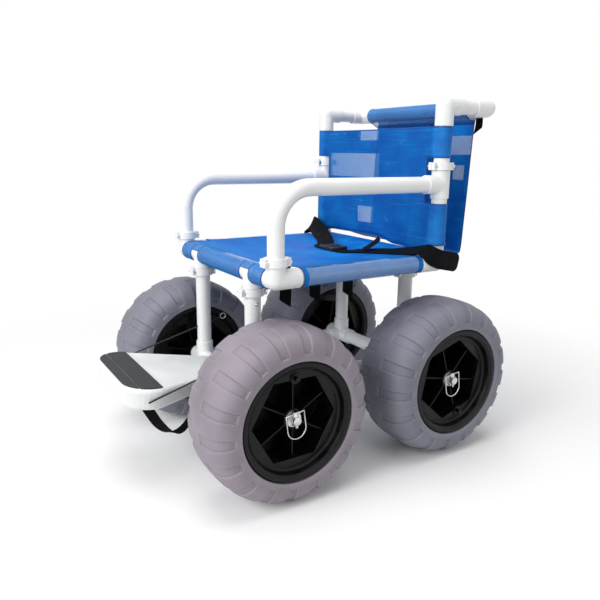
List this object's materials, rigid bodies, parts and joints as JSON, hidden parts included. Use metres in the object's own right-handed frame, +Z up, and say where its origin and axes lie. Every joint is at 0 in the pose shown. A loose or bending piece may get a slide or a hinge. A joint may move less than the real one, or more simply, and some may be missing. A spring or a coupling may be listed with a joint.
{
  "type": "beach wheelchair",
  "caption": "Beach wheelchair: white plastic tube frame on balloon wheels, with a mesh sling seat and back, swing-away armrests, fold-up footrest and rear pouch.",
  "frame": {"origin": "on the ground under the middle of the box", "axes": "+Z up, the chair faces -Y, +X to the sitter's left"},
  "size_m": [0.748, 1.0194, 0.9365],
  "materials": {
    "tube": "satin white",
    "steel": "brushed",
    "mesh_cloth": "coated mesh",
    "webbing": "woven",
    "buckle": "moulded",
    "board": "moulded",
    "pad": "grip",
    "tyre": "matt",
    "rim": "moulded",
    "bush": "turned"
  },
  "bodies": {
    "frame": {"seat_rails": "tube", "seat_corners": "tube", "leg_tees": "tube", "legs": "tube", "leg_spigots": "tube", "button_springs": "steel", "axle_crosses": "tube", "axle_tubes": "tube", "lower_side_rails": "tube", "axles": "steel", "axle_reducers": "tube", "axle_washers": "steel", "lock_pins": "steel", "back_posts": "tube", "handle_elbows": "tube", "handle_side_tubes": "tube", "push_bar": "tube", "clamp_collars": "tube", "collar_bolts": "steel", "seat_sling": "mesh_cloth", "back_sling": "mesh_cloth", "rear_pouch": "mesh_cloth", "seat_belt": "webbing", "belt_buckle": "buckle", "under_seat_straps": "webbing", "footrest_cords": "webbing", "cord_rings": "steel"},
    "front_left_wheel": {"front_left_tyre": "tyre", "front_left_rim": "rim", "front_left_bushes": "bush", "front_left_valve": "steel"},
    "front_left_bail": {"front_left_bail": "steel"},
    "front_right_wheel": {"front_right_tyre": "tyre", "front_right_rim": "rim", "front_right_bushes": "bush", "front_right_valve": "steel"},
    "front_right_bail": {"front_right_bail": "steel"},
    "rear_left_wheel": {"rear_left_tyre": "tyre", "rear_left_rim": "rim", "rear_left_bushes": "bush", "rear_left_valve": "steel"},
    "rear_left_bail": {"rear_left_bail": "steel"},
    "rear_right_wheel": {"rear_right_tyre": "tyre", "rear_right_rim": "rim", "rear_right_bushes": "bush", "rear_right_valve": "steel"},
    "rear_right_bail": {"rear_right_bail": "steel"},
    "left_button": {"left_snap_button": "steel"},
    "right_button": {"right_snap_button": "steel"},
    "left_armrest": {"left_armrest_tube": "tube", "left_armrest_tee": "tube", "left_foot_collar": "tube"},
    "right_armrest": {"right_armrest_tube": "tube", "right_armrest_tee": "tube", "right_foot_collar": "tube"},
    "footrest": {"footrest_board": "board", "footrest_pads": "pad", "footrest_clips": "buckle", "footrest_pull_strap": "webbing"}
  },
  "joints": [
    {"name": "front_left_wheel_spin", "type": "hinge", "parent": "frame", "child": "front_left_wheel", "pos_m": [0.281, -0.19029, 0.21], "axis": [1, 0, 0], "continuous": true},
    {"name": "front_right_wheel_spin", "type": "hinge", "parent": "frame", "child": "front_right_wheel", "pos_m": [-0.281, -0.19029, 0.21], "axis": [1, 0, 0], "continuous": true},
    {"name": "rear_left_wheel_spin", "type": "hinge", "parent": "frame", "child": "rear_left_wheel", "pos_m": [0.281, 0.29971, 0.21], "axis": [1, 0, 0], "continuous": true},
    {"name": "rear_right_wheel_spin", "type": "hinge", "parent": "frame", "child": "rear_right_wheel", "pos_m": [-0.281, 0.29971, 0.21], "axis": [1, 0, 0], "continuous": true},
    {"name": "front_left_bail_swing", "type": "hinge", "parent": "frame", "child": "front_left_bail", "pos_m": [0.3538, -0.19256, 0.22614], "axis": [0, -0.9903, -0.1392], "range_deg": [0, 130]},
    {"name": "front_right_bail_swing", "type": "hinge", "parent": "frame", "child": "front_right_bail", "pos_m": [-0.3538, -0.19256, 0.22614], "axis": [0, 0.9903, 0.1392], "range_deg": [0, 130]},
    {"name": "rear_left_bail_swing", "type": "hinge", "parent": "frame", "child": "rear_left_bail", "pos_m": [0.3538, 0.29744, 0.22614], "axis": [0, -0.9903, -0.1392], "range_deg": [0, 130]},
    {"name": "rear_right_bail_swing", "type": "hinge", "parent": "frame", "child": "rear_right_bail", "pos_m": [-0.3538, 0.29744, 0.22614], "axis": [0, 0.9903, 0.1392], "range_deg": [0, 130]},
    {"name": "left_button_press", "type": "slide", "parent": "frame", "child": "left_button", "axis": [-1, 0, 0], "range_m": [0, 0.0045], "stiffness_N_per_m": 300, "deforming": ["button_springs"]},
    {"name": "right_button_press", "type": "slide", "parent": "frame", "child": "right_button", "axis": [1, 0, 0], "range_m": [0, 0.0045], "stiffness_N_per_m": 300, "deforming": ["button_springs"]},
    {"name": "left_armrest_swing", "type": "hinge", "parent": "frame", "child": "left_armrest", "pos_m": [0.262, 0.29971, 0.718], "axis": [0, 0, 1], "range_deg": [0, 105]},
    {"name": "right_armrest_swing", "type": "hinge", "parent": "frame", "child": "right_armrest", "pos_m": [-0.262, 0.29971, 0.718], "axis": [0, 0, -1], "range_deg": [0, 105]},
    {"name": "footrest_fold", "type": "hinge", "parent": "frame", "child": "footrest", "pos_m": [0, -0.19029, 0.21], "axis": [-1, 0, 0], "range_deg": [0, 65], "deforming": ["footrest_cords"]}
  ]
}
